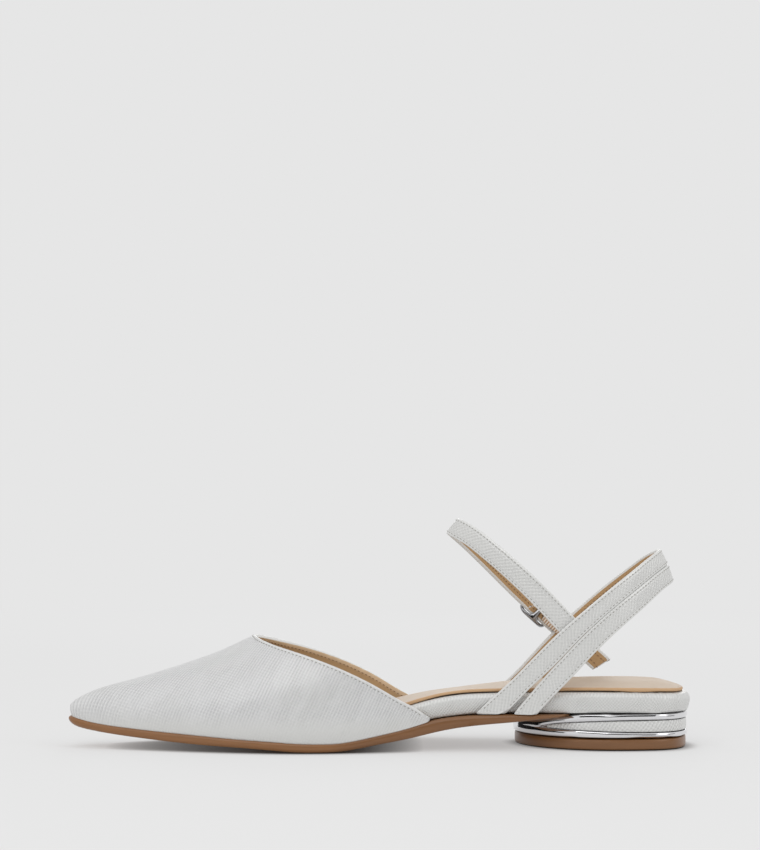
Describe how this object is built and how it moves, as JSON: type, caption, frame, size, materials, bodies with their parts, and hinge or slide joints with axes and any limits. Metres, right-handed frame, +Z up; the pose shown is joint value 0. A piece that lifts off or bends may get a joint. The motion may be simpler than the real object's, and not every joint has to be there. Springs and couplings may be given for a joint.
{
  "type": "pointed toe sling-back flat",
  "caption": "Right pointed toe flat with open waist, paired sling straps, buckled ankle strap and a low plated block heel.",
  "frame": {"origin": "on the floor, under the middle of the shoe's box", "axes": "+X from toe to heel, +Y to the outer side of the foot, +Z up"},
  "size_m": [0.262, 0.0745, 0.0954],
  "materials": {
    "silver_leather": "pearl, cross-hatched grain",
    "tan_lining": "smooth, soft",
    "brown_sole": "polished edge",
    "plated_metal": "polished",
    "elastic": "ribbed weave"
  },
  "bodies": {
    "root": {"outsole": "brown_sole", "midsole": "silver_leather", "insole": "tan_lining", "upper": "silver_leather", "sling_strap_front": "silver_leather", "sling_strap_rear": "silver_leather", "ankle_strap": "silver_leather", "elastic_tab": "elastic", "buckle_frame": "plated_metal", "buckle_pin": "plated_metal", "heel_shell": "plated_metal", "heel_inlay": "silver_leather", "heel_top_lift": "brown_sole"}
  },
  "joints": []
}
